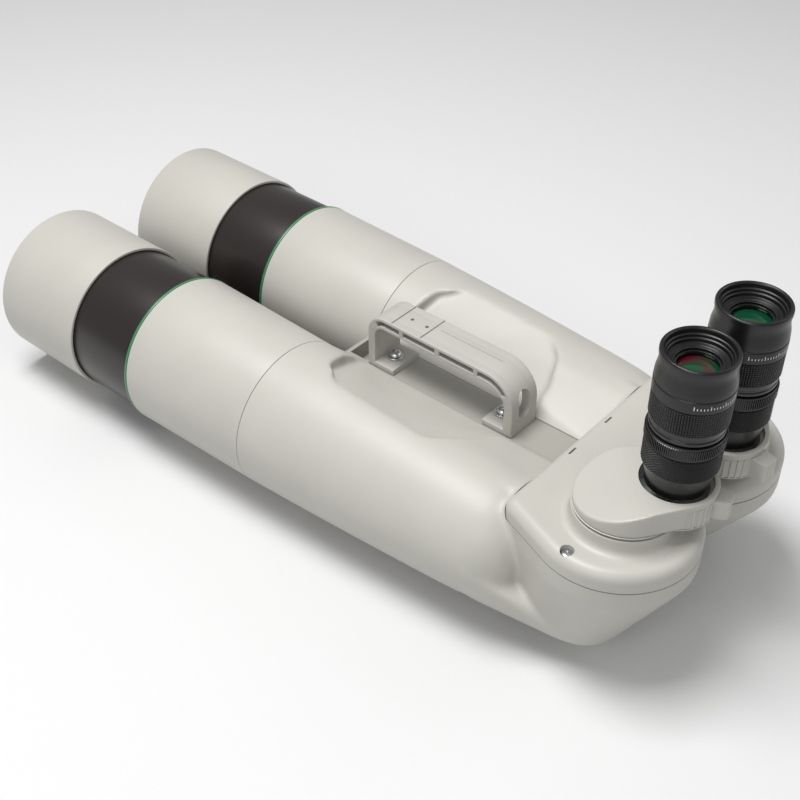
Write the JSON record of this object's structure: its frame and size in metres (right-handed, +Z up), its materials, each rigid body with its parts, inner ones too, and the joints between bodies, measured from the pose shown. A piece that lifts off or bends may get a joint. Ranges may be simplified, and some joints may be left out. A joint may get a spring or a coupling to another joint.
{
  "type": "astronomy binoculars",
  "caption": "Large observing binoculars with dew shields, a shared prism cover, upright eyepieces on swinging arms, a carry handle and a mounting foot.",
  "frame": {"origin": "centre of the underside of the mounting foot", "axes": "+Z up, +Y along the barrels towards the objectives, +X to the observer's right"},
  "size_m": [0.245, 0.5542, 0.2245],
  "materials": {
    "grey_paint": "fine satin texture",
    "satin_black": "satin",
    "flat_black": "matte",
    "green_trim": "satin",
    "rubber_black": "fine knurled rubber",
    "ribbed_black": "gloss over fine ribs",
    "coated_glass": "green and red coating",
    "clear_glass": "polished",
    "zinc": "zinc plated",
    "cast_alloy": "bead blasted"
  },
  "bodies": {
    "frame": {"bridge_deck": "grey_paint", "carry_handle": "grey_paint", "mounting_foot": "cast_alloy", "prism_cover": "grey_paint", "front_handle_washer": "zinc", "front_handle_screw": "zinc", "rear_handle_washer": "zinc", "rear_handle_screw": "zinc", "left_objective_cell": "satin_black", "left_lens_retaining_ring": "satin_black", "left_crown_lens": "coated_glass", "left_flint_lens": "clear_glass", "left_trim_ring": "green_trim", "left_front_tube": "grey_paint", "left_tube_baffle": "flat_black", "left_housing": "grey_paint", "left_roof_prism": "clear_glass", "left_prism_plate": "cast_alloy", "left_offset_prism": "clear_glass", "left_cover_screw": "zinc", "right_objective_cell": "satin_black", "right_lens_retaining_ring": "satin_black", "right_crown_lens": "coated_glass", "right_flint_lens": "clear_glass", "right_trim_ring": "green_trim", "right_front_tube": "grey_paint", "right_tube_baffle": "flat_black", "right_housing": "grey_paint", "right_roof_prism": "clear_glass", "right_prism_plate": "cast_alloy", "right_offset_prism": "clear_glass", "right_cover_screw": "zinc"},
    "left_shield": {"left_dew_shield": "grey_paint"},
    "left_arm": {"left_eyepiece_arm": "grey_paint", "left_arm_bearing_ring": "cast_alloy", "left_arm_prism": "clear_glass"},
    "left_focuser": {"left_focus_ring": "grey_paint"},
    "left_holder": {"left_eyepiece_holder": "satin_black", "left_clamp_ring": "ribbed_black", "left_eyepiece_body": "rubber_black", "left_field_lens": "clear_glass", "left_eye_lens": "coated_glass"},
    "left_cup": {"left_eyecup": "rubber_black"},
    "right_shield": {"right_dew_shield": "grey_paint"},
    "right_arm": {"right_eyepiece_arm": "grey_paint", "right_arm_bearing_ring": "cast_alloy", "right_arm_prism": "clear_glass"},
    "right_focuser": {"right_focus_ring": "grey_paint"},
    "right_holder": {"right_eyepiece_holder": "satin_black", "right_clamp_ring": "ribbed_black", "right_eyepiece_body": "rubber_black", "right_field_lens": "clear_glass", "right_eye_lens": "coated_glass"},
    "right_cup": {"right_eyecup": "rubber_black"}
  },
  "joints": [
    {"name": "left_dew_shield_slide", "type": "slide", "parent": "frame", "child": "left_shield", "axis": [0, 1, 0], "range_m": [-0.057, 0]},
    {"name": "left_arm_swing", "type": "hinge", "parent": "frame", "child": "left_arm", "pos_m": [-0.048, -0.19, 0.1158], "axis": [0, 0, -1], "range_deg": [-3, 22]},
    {"name": "left_focus_turn", "type": "hinge", "parent": "left_arm", "child": "left_focuser", "pos_m": [-0.02848, -0.20952, 0.1235], "axis": [0, 0, 1], "range_deg": [-25, 25]},
    {"name": "left_focus_slide", "type": "slide", "parent": "left_arm", "child": "left_holder", "axis": [0, 0, 1], "range_m": [-0.004, 0.004]},
    {"name": "left_eyecup_twist_up", "type": "slide", "parent": "left_holder", "child": "left_cup", "axis": [0, 0, 1], "range_m": [0, 0.008]},
    {"name": "right_dew_shield_slide", "type": "slide", "parent": "frame", "child": "right_shield", "axis": [0, 1, 0], "range_m": [-0.057, 0]},
    {"name": "right_arm_swing", "type": "hinge", "parent": "frame", "child": "right_arm", "pos_m": [0.048, -0.19, 0.1158], "axis": [0, 0, 1], "range_deg": [-3, 22]},
    {"name": "right_focus_turn", "type": "hinge", "parent": "right_arm", "child": "right_focuser", "pos_m": [0.02848, -0.20952, 0.1235], "axis": [0, 0, 1], "range_deg": [-25, 25]},
    {"name": "right_focus_slide", "type": "slide", "parent": "right_arm", "child": "right_holder", "axis": [0, 0, 1], "range_m": [-0.004, 0.004]},
    {"name": "right_eyecup_twist_up", "type": "slide", "parent": "right_holder", "child": "right_cup", "axis": [0, 0, 1], "range_m": [0, 0.008]}
  ],
  "couplings": [
    {"joint": "left_focus_slide", "follows": "left_focus_turn", "m_per_rad": 0.0091},
    {"joint": "right_focus_slide", "follows": "right_focus_turn", "m_per_rad": 0.0091}
  ]
}
